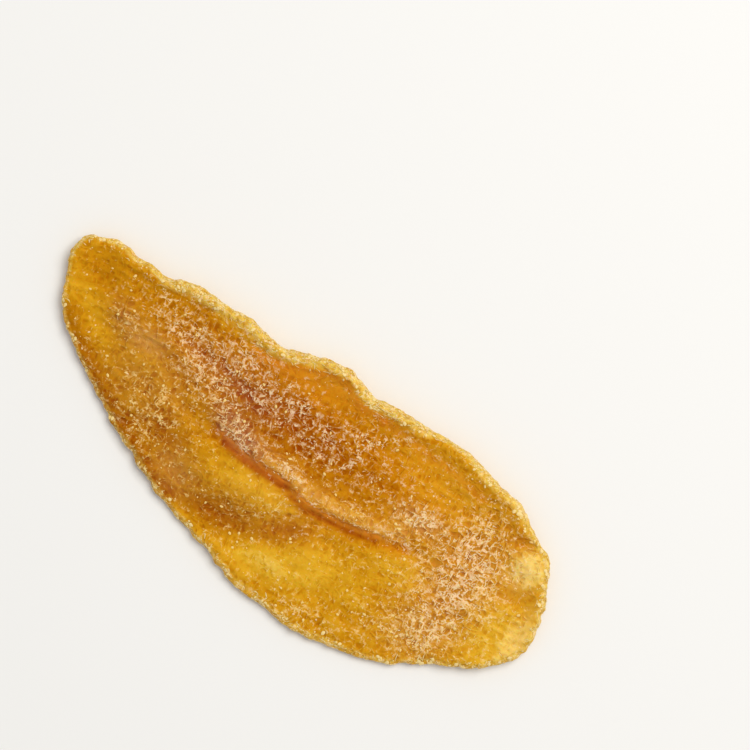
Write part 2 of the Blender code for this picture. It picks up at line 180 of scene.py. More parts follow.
# How pale the flesh is: 0 in the deepest orange creases, 0.5 in plain amber, 1 in pale yellow.
# Some of its zones paint light and shade: darker creases, troughs and hollows and a darker lower
# left edge are painted shade, and a lighter inner side of the lip and lighter lit slopes are
# painted light
TONE_AND_PAINTED_SHADING = ZoneMap(
    base=0.44,
    zones=(
        # Painted shade: the creases under the ridge's two folds are darkened
        Streak(((-13, -2.2), (-8, -2.8), (-3, -2.7), (2.5, -2.1)), 0.9, -0.60),
        Streak(((4.5, -3.3), (8, -3.7), (12, -3.2), (20, -1.8), (24, -0.4)), 0.7, -0.34),
        Spot(-12.5, 0.8, 7, 3, -12, -0.50),
        # Painted light: the lip's inner side, which faces away from the light, is lightened
        Streak(((-30, 18.6), (-18, 18), (-10, 19.6), (-4, 22.4), (4, 21.6)), 1.4, 0.16),
        Streak(((8, 20.6), (20, 20.8), (32, 20.6)), 1.2, 0.10),
        # Painted shade: the lower left edge, which turns away from the light, is darkened
        Streak(((-56, 1), (-44, -8), (-30, -14.6), (-18, -18.6)), 2.6, -0.44),
        # Painted shade: a crease in the middle band and the small valley above the ridge are
        # darkened
        Streak(((-32, 10.4), (-20, 9.8), (-10, 7)), 1.3, -0.12),
        Streak(((-6, 2.2), (4, 2.2), (14, 2.4), (22, 4)), 0.6, -0.14),
        Spot(-4, 9, 27, 7, 2, -0.36),
        Spot(-34, -3, 16, 9, -26, -0.25),
        Spot(-22, -9, 10, 5, -22, -0.18),
        Spot(-34, 14, 14, 5, 0, -0.12),
        # Painted shade: the hollow near the tip is darkened
        Spot(-53.5, 11.3, 5, 3.6, -8, -0.10),
        Spot(-38.6, 6.3, 3, 1.8, 8, 0.12),
        Spot(-38, 2, 6, 3.6, 0, 0.08),
        Spot(-46, 7, 5, 3.4, -20, -0.16),
        # Painted light: the basin under the arch of the lip, in the lip's shade, is lightened
        Spot(-1, 19.6, 9, 3.6, 4, 0.10),
        # Painted shade: the bulge's shaded side and the troughs below it are darkened
        Spot(-6, -14, 12, 4.6, 8, -0.28),
        Spot(-4, -16.2, 10, 2.8, 4, -0.12),
        Spot(8.5, -9.8, 5.5, 2.4, 38, -0.24),
        Spot(50.2, 17.6, 2.4, 1.2, -18, 0.04),
        Spot(37, 3.6, 1.6, 1.3, 0, 0.28),
        Spot(44, 3, 8, 12, 0, -0.04),
        # Painted light: the bulge's slope that faces the light is lightened
        Spot(-6, -5.8, 10, 3, 9, 0.08),
        # Painted light: the ridge's lit top is lightened
        Streak(RIDGE_TOP, 1.6, 0.10),
        Spot(15, -14.5, 13, 5.4, 16, 0.20),
        Spot(5, -18.6, 8, 3.6, 0, 0.18),
        Spot(32.5, -3, 7, 3.2, 16, 0.20),
        Spot(28, 17, 12, 5.5, -6, 0.16),
        Spot(15, 11, 10, 5, 0, 0.08),
        Spot(53.8, 13.4, 3.8, 4.2, -10, 0.54),
        Spot(56, -2, 7, 9, 0, 0.25),
        Spot(56, 7.6, 4, 3.6, 0, 0.02),
        Spot(60.5, 0.6, 2.6, 7.5, 0, 0.22),
        Spot(-52, 2, 9, 5, -30, 0.16),
    ),
)

# Where the flesh is orange, at 1, rather than golden, at 0
AMBER = ZoneMap(
    base=0.25,
    zones=(
        Spot(-6, 13, 34, 11, 2, 0.65),
        Spot(26, 14, 14, 9, -6, 0.30),
        Spot(-44, 10, 14, 5, -12, 0.10),
        Spot(-33, -5, 16, 8, -26, -0.18),
        Spot(-43, 3.6, 14, 7, -20, -0.20),
        Spot(-8, -15, 14, 4.4, 6, -0.16),
        Spot(-18.5, -13, 6, 4.4, -20, -0.34),
        Spot(-52, 0, 10, 6, -30, -0.25),
        # Painted shade: the creases under the ridge turn a deeper orange, as their shade does
        Streak(((-16, -1.8), (2, -2.4), (8, -3.6), (20, -1.8), (30, 1.6)), 1.6, 0.75),
        Streak(RIDGE_TOP, 1.6, 0.35),
        Spot(8.5, -9.8, 7, 3.4, 38, 0.40),
        Spot(44, 2, 11, 15, 0, 0.48),
        Spot(55, 7.6, 4, 3.6, 0, 0.40),
        Spot(48, 17.4, 4, 2.4, -18, 0.30),
        Spot(56, 0, 8, 16, 0, -0.25),
        Spot(15, -14.5, 15, 6, 16, -0.25),
        Spot(-6, -6.5, 12, 4, 9, -0.25),
    ),
)

# Painted glow: on the shaded walls where the flesh folds on itself, under the ridge and inside the
# lip, colour paints the red orange of light shining through the flesh
PAINTED_GLOW_MAP = ZoneMap(
    base=0.0,
    zones=(
        Streak(((-15, -0.6), (-12, -1.1), (-8, -1.6), (-2, -1.5), (2.5, -1.1)), 0.6, 0.75),
        Streak(((4.5, -2), (8, -2.5), (12, -2.2), (20, -0.6), (24, 0.6)), 0.6, 0.70),
        Streak(((-12, -2.6), (-8, -2.9), (-3, -2.6), (1, -2.2)), 0.9, 0.20),
        Streak(((-18, 15.8), (-12, 17), (-6, 19.4), (-1, 20.4), (6, 19.8)), 1.2, 0.30),
        Streak((*LIP_WALL, (0, 22.6), (5, 21), (11, 21.2)), 0.9, 0.55),
        Streak(((11, 21.2), (20, 20.8), (28, 21), (37, 20)), 1.1, 0.40),
        Spot(-3, 16.5, 6, 2.6, 6, 0.15),
    ),
)

# Where sugar inside the skin makes the flesh milky, as a share of the haze's own colour
HAZE = ZoneMap(
    base=0.0,
    zones=(
        Spot(-12.5, 1, 6.4, 2.6, -12, 0.27),
        Streak(((-8, 0.4), *RIDGE_TOP[1:]), 1.6, 0.16),
        Spot(44, 3.5, 9.5, 14, 0, 0.10),
        Spot(29, 8.3, 5.4, 3, 10, 0.20),
        Spot(-45.5, 6.4, 5, 3, -22, 0.10),
        Spot(-34, -1, 11, 8, -22, 0.06),
        Spot(-38.5, 5.6, 4, 2.6, 8, 0.16),
        Spot(-18.5, -13, 6, 4.4, -20, 0.10),
        Spot(0, -9, 15, 6, 10, 0.04),
        Spot(53.6, 13.2, 3.6, 4.4, 0, 0.26),
        Spot(60.5, 1, 2.6, 8, 0, 0.20),
        Spot(-21, 9, 14, 6, 0, 0.06),
        Spot(42, -11.5, 7, 5, 20, 0.10),
    ),
)

# How thickly sugar has dried on the flesh
FROST = ZoneMap(
    base=0.22,
    zones=(
        Spot(-21, 11, 14, 6.5, 0, 0.42),
        Spot(-24, 5, 8, 3.4, -18, 0.38),
        Spot(-12.5, 1, 6.4, 2.4, -12, 0.55),
        Spot(-19.5, 16, 3, 1.8, 0, 0.40),
        Spot(-4.5, 13.4, 2.4, 1.2, 0, 0.40),
        Spot(0, 10, 14, 6.5, 0, 0.30),
        Spot(1.6, 0.6, 2.4, 1.6, 0, 0.55),
        Spot(2.2, 12.8, 2, 1.2, 0, 0.40),
        Spot(18, 10.5, 11, 6, 0, 0.10),
        Streak(((9.4, 21.5), (9.8, 17), (10.2, 12.5)), 0.9, 0.50),
        Streak(((10.6, 15), (14, 18), (18, 21.5)), 0.9, 0.55),
        Streak(((5, 15), (10, 15.4)), 0.7, 0.35),
        Streak(((6, 7.6), (10.5, 9.2), (11, 12)), 0.7, 0.30),
        Streak(((-14, 1), *RIDGE_TOP[1:-1], (26, 3)), 1.5, 0.22),
        Streak(((-16, 0.2), (-12, -0.4), (-8, -0.9), (-4, -1), (2.5, -0.5)), 0.5, 0.40),
        Streak(((4.5, -1.3), (8, -1.8), (12, -1.5), (16, -0.7), (20, 0.1), (26, 2)), 0.5, 0.45),
        Streak(((-13, -1.9), (-8, -2.4), (-3, -2.3), (2.5, -1.8)), 0.9, -0.80),
        Streak(((4.5, -2.9), (8, -3.3), (12, -2.9), (20, -1.4), (25, 0.3)), 0.8, -0.80),
        Streak(((16.5, 2.6), (20, 3)), 0.8, 0.40),
        Spot(29, 8.3, 5.4, 3, 10, 0.78),
        Spot(30, 3, 5, 1.6, 14, 0.35),
        Spot(44, 3.5, 9.5, 14, 0, 0.70),
        Spot(44, 6, 5, 9, 0, 0.20),
        Spot(41, 15, 5, 6, 0, 0.25),
        Spot(42, -11.5, 6.5, 5, 20, 0.50),
        Spot(22.5, -21.5, 7, 2, 4, 0.36),
        Spot(33, -14, 6, 5, 30, 0.22),
        Spot(-45.5, 6.4, 4.6, 2.4, -22, 0.38),
        Spot(-37, 13, 8, 4, 0, 0.36),
        Spot(-30, -4, 8, 5, -20, 0.26),
        Streak(((-29.5, -2.5), (-28.8, -5), (-26.5, -6.6)), 1, 0.45),
        Spot(-30, -11, 8, 4, -28, 0.22),
        Spot(0, -9, 7, 2.6, 28, 0.22),
        Spot(-8, -12.6, 8, 2, 8, 0.14),
        Streak(((-10, 18.8), (-4, 21.8), (4, 21)), 1.6, -0.30),
        Spot(-56, 10, 6, 8, 0, -0.22),
        Spot(-50, -1, 7, 4, -25, -0.06),
        Spot(-38.5, 5.4, 3, 2, 8, -0.45),
        Spot(-1, 20, 8.5, 2.8, 4, -0.25),
        Spot(28, 17.8, 7.6, 3.6, -6, -0.16),
        Spot(-6, -6.2, 7, 2, 9, -0.16),
        Spot(15, -13.6, 12, 5, 16, -0.14),
        Spot(55.6, 8, 3.4, 3, 0, -0.20),
        Spot(53.6, 13.6, 3.4, 4, 0, 0.20),
    ),
)

ZONE_MAPS = {"tone": TONE_AND_PAINTED_SHADING, "amber": AMBER, "fold": PAINTED_GLOW_MAP, "haze": HAZE, "frost": FROST}

# How far the pale, crusty lip reaches in from the outline, as (x, width)
THICK_EDGE_LIP = (
    (-64.0, 1.0), (-52.0, 1.3), (-45.0, 1.6), (-42.0, 2.8), (-14.0, 3.4), (-9.0, 2.8), (0.0, 2.2),
    (5.0, 2.8), (11.0, 2.8), (20.0, 2.2), (22.0, 1.1), (30.0, 1.2), (34.0, 2.2), (43.0, 2.0),
    (52.0, 1.5), (64.0, 1.8),
)
THIN_EDGE_LIP = (
    (-64.0, 0.9), (-50.0, 0.9), (-30.0, 1.4), (-20.0, 1.3), (0.0, 1.8), (20.0, 2.0), (30.0, 1.8),
    (44.0, 1.4), (56.0, 1.6), (64.0, 2.0),
)


@dataclass(frozen=True)
class Waves:
    """Uneven waves: half their height, how far apart they lie, how much longer they are along
    their heading than across it, that heading, the layer of noise that they use, and what
    brings their sharp crests back to zero in the mean."""

    height: float
    length: float
    stretch: float
    heading: float
    layer: float
    crest_drop: float = 2.6

    def at(self, places: np.ndarray) -> np.ndarray:
        """Return the waves' height, about zero.

        Args:
            places: The places, in millimetres.

        Returns:
            One height for each place.
        """
        turn = math.radians(self.heading)
        x, y, z = places.T / self.length
        along = (x * math.cos(turn) + y * math.sin(turn)) / self.stretch
        across = y * math.cos(turn) - x * math.sin(turn)
        values = [noise.noise(Vector(place)) for place in zip(along, across, z + self.layer)]
        return self.height * np.array(values)

    def crests_at(self, places: np.ndarray) -> np.ndarray:
        """Return sharp crests between rounded hollows, about zero."""
        return self.height - self.crest_drop * np.abs(self.at(places))


def linear(colour: str) -> tuple:
    """Return a colour in linear light.

    Args:
        colour: An sRGB colour such as "#C08020".

    Returns:
        Its linear red, green and blue, and an alpha of 1.
    """
    parts = np.array([int(colour[start : start + 2], 16) / 255 for start in (1, 3, 5)])
    curved = np.where(parts <= 0.04045, parts / 12.92, ((parts + 0.055) / 1.055) ** 2.4)
    return (*curved.tolist(), 1.0)


def feed(node: bpy.types.Node, inputs: dict) -> None:
    """Set a node's inputs, or link them to what feeds them.

    Args:
        node: The node.
        inputs: For each input's name or number, a value or the output that feeds it.
    """
    for name, value in inputs.items():
        if isinstance(value, Socket):
            node.id_data.links.new(value, node.inputs[name])
        else:
            node.inputs[name].default_value = value


def new_material(name: str, inputs: dict) -> bpy.types.Material:
    """Return a new material with one shader.

    Args:
        name: The material's name.
        inputs: For each of the shader's inputs, its value.

    Returns:
        The material.
    """
    material = bpy.data.materials.new(name)
    material.use_nodes = True
    feed(material.node_tree.nodes["Principled BSDF"], inputs)
    return material


@dataclass
class Pattern:
    """A material's node tree, with the place on the slice and the zones that it reads."""

    tree: bpy.types.NodeTree
    zone_names: tuple = ("tone", "amber", "fold", "haze", "frost", "rim", "hollow")
    place: Socket = field(init=False)
    zones: dict = field(init=False)

    def __post_init__(self) -> None:
        """Add the nodes that read the place, in millimetres, and the zones' values."""
        metres = self.add("TexCoord", {}, "Object")
        self.place = self.add("VectorMath", {0: metres, 3: 1 / MM}, operation="SCALE")
        self.zones = {
            zone: self.add("Attribute", {}, "Fac", attribute_name=zone) for zone in self.zone_names
        }

    def add(
        self, kind: str, inputs: dict, output: str | int = 0, stops: tuple = (), **settings: object
    ) -> Socket:
        """Add a shader node with its settings, values and links.

        Args:
            kind: The node's type without its "ShaderNode", such as "Math".
            inputs: For each input's name or number, a value or the output that feeds it.
            output: The name or number of the output that is wanted.
            stops: For a colour ramp, its (place, sRGB colour) pairs.
            settings: The node's own properties.

        Returns:
            The wanted output of the new node.
        """
        node = self.tree.nodes.new("ShaderNode" + kind)
        for name, value in settings.items():
            setattr(node, name, value)
        feed(node, inputs)
        for number, (place, colour) in enumerate(stops):
            elements = node.color_ramp.elements
            stop = elements[number] if number < 2 else elements.new(place)
            stop.position = place
            stop.color = linear(colour)
        return node.outputs[output]


@dataclass(frozen=True)
class Lace:
    """Crooked lines on the skin: how many run to a millimetre across and along their heading,
    that heading in degrees, and the layer of noise that they use."""

    across: float
    along: float
    heading: float
    layer: float


@dataclass(frozen=True)
class Mottle:
    """A cloudy pattern: how many of its clouds run to a millimetre, and how far they fray."""

    per_mm: float
    detail: float

    def at(self, place: Socket) -> dict:
        """Return the inputs of a noise node that draws it."""
        return {"Vector": place, "Scale": self.per_mm, "Detail": self.detail}


@dataclass(frozen=True)
class Span:
    """A range of values and the range that it is turned into, with nothing past its ends."""

    from_start: float
    from_end: float
    to_start: float
    to_end: float

    def of(self, value: Socket) -> dict:
        """Return the inputs of a map range node that turns a value so."""
        names = ("Value", "From Min", "From Max", "To Min", "To Max")
        return dict(zip(names, (value, *astuple(self))))


@dataclass(frozen=True)
class DriedFlesh:
    """Mango flesh dried to a soft leather: pressed juice and sugar give it a deep amber body
    that light enters, paler where the slice is thin, and a dull satin skin.

    The lace's gap is how far a place lies from its nearest line, as a noise value. The lines
    are the thin threads of sugar, and the welts are the skin's broad raised lines under them.
    """

    name: str = "dried_mango_flesh"
    golden: tuple = (
        (0.0, "#A05400"),
        (0.25, "#BA7806"),
        (0.5, "#D09210"),
        (0.75, "#E2AC26"),
        (1.0, "#FCD868"),
    )
    amber: tuple = (
        (0.0, "#983C00"),
        (0.25, "#B26202"),
        (0.5, "#CC7E08"),
        (0.75, "#DE981C"),
        (1.0, "#F0B644"),
    )
    deep_crust: str = "#D09C28"
    pale_crust: str = "#F0CC60"
    golden_frost: str = "#FCDC92"
    pale_frost: str = "#FEE2BE"
    haze: str = "#E8B880"
    # The red orange of the painted glow of light through the flesh, on shaded walls
    fold: str = "#E08420"
    roughness: float = 0.42
    frost_roughness: float = 0.72
    ior: float = 1.45
    specular: float = 0.15
    gloss_tint: str = "#FFB450"
    subsurface: float = 0.28
    subsurface_radius: tuple = (1.0, 0.42, 0.10)
    subsurface_depth: float = 1.6

    # The lace. Real sugar threads are 0.1 to 0.2 mm wide, and its lines are drawn a little wider
    # to show. Crumbs of about 0.4 mm swell and thin them, and breaks about 1 mm apart cut them.
    laces: tuple = (Lace(0.66, 0.36, 8.0, 5.0), Lace(0.68, 0.36, 96.0, 41.0))
    lace_detail: float = 1.6
    lace_kinks: float = 0.5
    lace_join: float = 0.05
    frost_widens: float = -0.010
    line: Span = Span(0.012, 0.034, 1.0, 0.0)
    welt: Span = Span(0.0, 0.18, 1.0, 0.0)
    crumbs: Mottle = Mottle(2.4, 2.0)
    crumb_swell: float = -0.20
    crumb_thinning: float = 0.103
    breaks: Mottle = Mottle(0.9, 4.0)
    frost_against_breaks: float = 0.28
    unbroken: Span = Span(0.56, 0.84, 0.0, 0.80)

    # The flesh's tone: clouds of 3.5 and 0.7 mm, and what each layer adds to the zone's value.
    # The hollows, the thick frost and the cells between the welts are darkened and made more
    # orange as painted shade, and the welts' crests are lightened as painted highlights
    broad_mottle: Mottle = Mottle(0.28, 3.0)
    broad_tone: float = 0.14
    fine_mottle: Mottle = Mottle(1.5, 3.0)
    fine_tone: float = 0.13
    hollow_painted_shade: float = -0.06
    frost_painted_shade: float = -0.11
    tone_drop: float = 0.190
    welt_painted_highlight: float = 0.13
    frosted_welt_painted_highlight: float = 0.17
    painted_shade_amber_between_welts: float = 0.20
    painted_highlight_amber_on_welts: float = -0.35

    # The milky haze in the flesh, and the pale crust of the edges, ragged at its inner side
    haze_mottle: Mottle = Mottle(1.1, 4.0)
    haze_spread: Span = Span(0.35, 0.65, 0.5, 1.4)
    crust_mottle: Mottle = Mottle(0.8, 2.5)
    crust_spread: Span = Span(0.36, 0.64, 0.0, 1.0)
    crust_rags: Mottle = Mottle(1.4, 4.0)
    crust_raggedness: float = 0.8
    crust_reach: Span = Span(0.60, 1.25, 0.0, 0.85)

    # The relief: welts that rise with the frost, pits 0.5 mm apart, and the sugar on top
    welt_relief: Span = Span(0.20, 0.8, 0.58, 1.20)
    skin: Mottle = Mottle(2.2, 3.0)
    skin_relief: float = 0.25
    frost_relief: float = 0.15
    relief_depth: float = 0.20

    def material(self) -> bpy.types.Material:
        """Return the flesh's material, which reads the zones from the piece's attributes.

        Returns:
            The new material.
        """
        material = new_material(
            self.name,
            {
                "IOR": self.ior,
                "Specular IOR Level": self.specular,
                "Specular Tint": linear(self.gloss_tint),
                "Subsurface Weight": self.subsurface,
                "Subsurface Radius": self.subsurface_radius,
                "Subsurface Scale": self.subsurface_depth * MM,
            },
        )
        net = Pattern(material.node_tree)
        gap = self.lace_gap(net)
        welts = net.add("MapRange", self.welt.of(gap), interpolation_type="SMOOTHSTEP")
        cover = self.frost_cover(net, gap)
        colour = self.flesh_colour(net, welts)
        layers = (
            # Painted glow of light through the flesh on the shaded walls, then haze, crust and
            # frost
            (net.zones["fold"], linear(self.fold)),
            (self.haze_cover(net), linear(self.haze)),
            (self.crust_cover(net), self.crust_colour(net)),
            (cover, self.frost_colour(net)),
        )
        for share, over in layers:
            colour = net.add("Mix", {0: share, 6: colour, 7: over}, 2, data_type="RGBA")
        rough = net.add("Mix", {0: cover, 2: self.roughness, 3: self.frost_roughness})
        normal = self.bump(net, cover, welts)
        shader = net.tree.nodes["Principled BSDF"]
        feed(shader, {"Base Color": colour, "Roughness": rough, "Normal": normal})
        return material

    def lace_gap(self, net: Pattern) -> Socket:
        """Return the lace's gap, a little smaller where the frost is thick.

        Args:
            net: The material's patterns.

        Returns:
            The gap, 0 on a line.
        """
        gaps = []
        for lace in self.laces:
            heading = math.radians(-lace.heading)
            turned = net.add(
                "Mapping",
                {
                    "Vector": net.place,
                    "Location": (0.0, 0.0, lace.layer),
                    "Rotation": (0.0, 0.0, heading),
                },
                vector_type="POINT",
            )
            drawn = net.add(
                "VectorMath",
                {0: turned, 1: (lace.along, lace.across, lace.across)},
                operation="MULTIPLY",
            )
            value = net.add(
                "TexNoise",
                {
                    "Vector": drawn,
                    "Scale": 1.0,
                    "Detail": self.lace_detail,
                    "Distortion": self.lace_kinks,
                },
                "Fac",
            )
            off = net.add("Math", {0: value, 1: 0.5}, operation="SUBTRACT")
            gaps.append(net.add("Math", {0: off}, operation="ABSOLUTE"))
        gap = net.add("Math", {0: gaps[0], 1: gaps[1], 2: self.lace_join}, operation="SMOOTH_MIN")
        return net.add(
            "Math", {0: net.zones["frost"], 1: self.frost_widens, 2: gap}, operation="MULTIPLY_ADD"
        )

    def frost_cover(self, net: Pattern, gap: Socket) -> Socket:
        """Return how far dried sugar covers the skin.

        It lies along the lace's lines, which swell to crumbs and thin out again, and which
        break up into short threads, the more so where the zone has little sugar.

        Args:
            net: The material's patterns.
            gap: The lace's gap.

        Returns:
            The cover, from 0 to 1.
        """
        crumbs = net.add("TexNoise", self.crumbs.at(net.place), "Fac")
        shift = net.add(
            "Math",
            {0: crumbs, 1: self.crumb_swell, 2: self.crumb_thinning},
            operation="MULTIPLY_ADD",
        )
        crumbled = net.add("Math", {0: gap, 1: shift}, operation="ADD")
        lines = net.add("MapRange", self.line.of(crumbled), interpolation_type="SMOOTHSTEP")
        breaks = net.add("TexNoise", self.breaks.at(net.place), "Fac")
        amount = net.add(
            "Math",
            {0: net.zones["frost"], 1: self.frost_against_breaks, 2: breaks},
            operation="MULTIPLY_ADD",
        )
        unbroken = net.add("MapRange", self.unbroken.of(amount))
        return net.add("Math", {0: lines, 1: unbroken}, operation="MULTIPLY")

    def flesh_colour(self, net: Pattern, welts: Socket) -> Socket:
        """Return the flesh's colour: the zone's tone, softly mottled.

        It is deeper in the hollows and under thick frost as painted shade, and paler and less
        orange on the welts' crests as painted highlights, with more orange between them as painted
        shade.

        Args:
            net: The material's patterns.
            welts: 1 on the welts, 0 between them.

        Returns:
            The colour output.
        """
        # Painted highlight: the welts' crests are paler, the more so in thick frost
        welt_highlight = net.add(
            "Math",
            {0: net.zones["frost"], 1: self.frosted_welt_painted_highlight, 2: self.welt_painted_highlight},
            operation="MULTIPLY_ADD",
        )
        layers = (
            (net.add("TexNoise", self.broad_mottle.at(net.place), "Fac"), self.broad_tone),
            (net.add("TexNoise", self.fine_mottle.at(net.place), "Fac"), self.fine_tone),
            # Painted shade in the hollows and under thick frost, painted highlight on the welts
            (net.zones["hollow"], self.hollow_painted_shade),
            (net.add("Math", {0: welts, 1: welt_highlight}, operation="MULTIPLY"), 1.0),
            (net.zones["frost"], self.frost_painted_shade),
        )
        tone = net.zones["tone"]
        for value, share in layers:
            tone = net.add("Math", {0: value, 1: share, 2: tone}, operation="MULTIPLY_ADD")
        tone = net.add("Math", {0: tone, 1: self.tone_drop}, operation="SUBTRACT")
        # Painted shade and highlight in hue: deeper orange between the welts, less orange on their
        # crests
        deep = net.add(
            "Math",
            {0: welts, 1: self.painted_highlight_amber_on_welts, 2: self.painted_shade_amber_between_welts},
            operation="MULTIPLY_ADD",
        )
        orange = net.add("Math", {0: net.zones["amber"], 1: deep}, operation="ADD", use_clamp=True)
        ramps = (self.golden, self.amber)
        golden, amber = (net.add("ValToRGB", {"Fac": tone}, "Color", stops) for stops in ramps)
        return net.add("Mix", {0: orange, 6: golden, 7: amber}, 2, data_type="RGBA")

    def frost_colour(self, net: Pattern) -> Socket:
        """Return the colour of dried sugar: golden on golden flesh, paler on orange flesh."""
        ends = {6: linear(self.golden_frost), 7: linear(self.pale_frost)}
        return net.add("Mix", {0: net.zones["amber"], **ends}, 2, data_type="RGBA")

    def haze_cover(self, net: Pattern) -> Socket:
        """Return how milky the flesh is under its thickest sugar.

        Args:
            net: The material's patterns.

        Returns:
            The cover, from 0 to 1.
        """
        clouds = net.add("TexNoise", self.haze_mottle.at(net.place), "Fac")
        spread = net.add("MapRange", self.haze_spread.of(clouds))
        return net.add("Math", {0: spread, 1: net.zones["haze"]}, operation="MULTIPLY")

    def crust_colour(self, net: Pattern) -> Socket:
        """Return the crust's colour, mottled from deep to pale yellow.

        Args:
            net: The material's patterns.

        Returns:
            The colour output.
        """
        mottle = net.add("TexNoise", self.crust_mottle.at(net.place), "Fac")
        share = net.add("MapRange", self.crust_spread.of(mottle))
        ends = {6: linear(self.deep_crust), 7: linear(self.pale_crust)}
        return net.add("Mix", {0: share, **ends}, 2, data_type="RGBA")

    def crust_cover(self, net: Pattern) -> Socket:
        """Return how far the pale crust covers the edges, broken up at its inner side.

        Args:
            net: The material's patterns.

        Returns:
            The cover, from 0 to 1.
        """
        rags = net.add("TexNoise", self.crust_rags.at(net.place), "Fac")
        reach = net.add(
            "Math",
            {0: rags, 1: self.crust_raggedness, 2: net.zones["rim"]},
            operation="MULTIPLY_ADD",
        )
        return net.add("MapRange", self.crust_reach.of(reach))

    def bump(self, net: Pattern, cover: Socket, welts: Socket) -> Socket:
        """Return the normal of a finely welted and pitted skin, on which the sugar stands proud.

        Args:
            net: The material's patterns.
            cover: How far dried sugar covers the flesh.
            welts: 1 on the welts, 0 between them.

        Returns:
            The normal output.
        """
        skin = net.add("TexNoise", self.skin.at(net.place), "Fac")
        relief = net.add("MapRange", self.welt_relief.of(net.zones["frost"]))
        height = net.add("Math", {0: welts, 1: relief}, operation="MULTIPLY")
        for value, share in ((skin, self.skin_relief), (cover, self.frost_relief)):
            height = net.add("Math", {0: value, 1: share, 2: height}, operation="MULTIPLY_ADD")
        return net.add(
            "Bump", {"Strength": 1.0, "Distance": self.relief_depth * MM, "Height": height}
        )


@dataclass(frozen=True)
class DriedSugar:
    """Sugar that has dried out of the juice: pale, dull crumbs that keep a little of the
    juice's amber, and are nearly white where they are thick."""

    name: str
    colour: str
    roughness: float = 0.55
    ior: float = 1.54
    specular: float = 0.35

    def material(self) -> bpy.types.Material:
        """Return the sugar's material."""
        inputs = {
            "Base Color": linear(self.colour),
            "Roughness": self.roughness,
            "IOR": self.ior,
            "Specular IOR Level": self.specular,
        }
        return new_material(self.name, inputs)


@dataclass(frozen=True)
class PaleFloor:
    """A matt, nearly white table top."""

    name: str = "pale_floor"
    colour: str = "#F4F3F1"
    roughness: float = 0.8
    specular: float = 0.2

    def material(self) -> bpy.types.Material:
        """Return the floor's material."""
        inputs = {
            "Base Color": linear(self.colour),
            "Roughness": self.roughness,
            "Specular IOR Level": self.specular,
        }
        return new_material(self.name, inputs)


def finish_piece(piece: bpy.types.Object, material: bpy.types.Material) -> bpy.types.Object:
    """Dress a piece, let it ride on the slice's body and report it.

    Args:
        piece: The piece.
        material: Its material.

    Returns:
        The same piece.
    """
    piece.data.materials.clear()
    piece.data.materials.append(material)
    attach(piece, "root")
    log.info("%s: %d faces", piece.name, len(piece.data.polygons))
    return piece


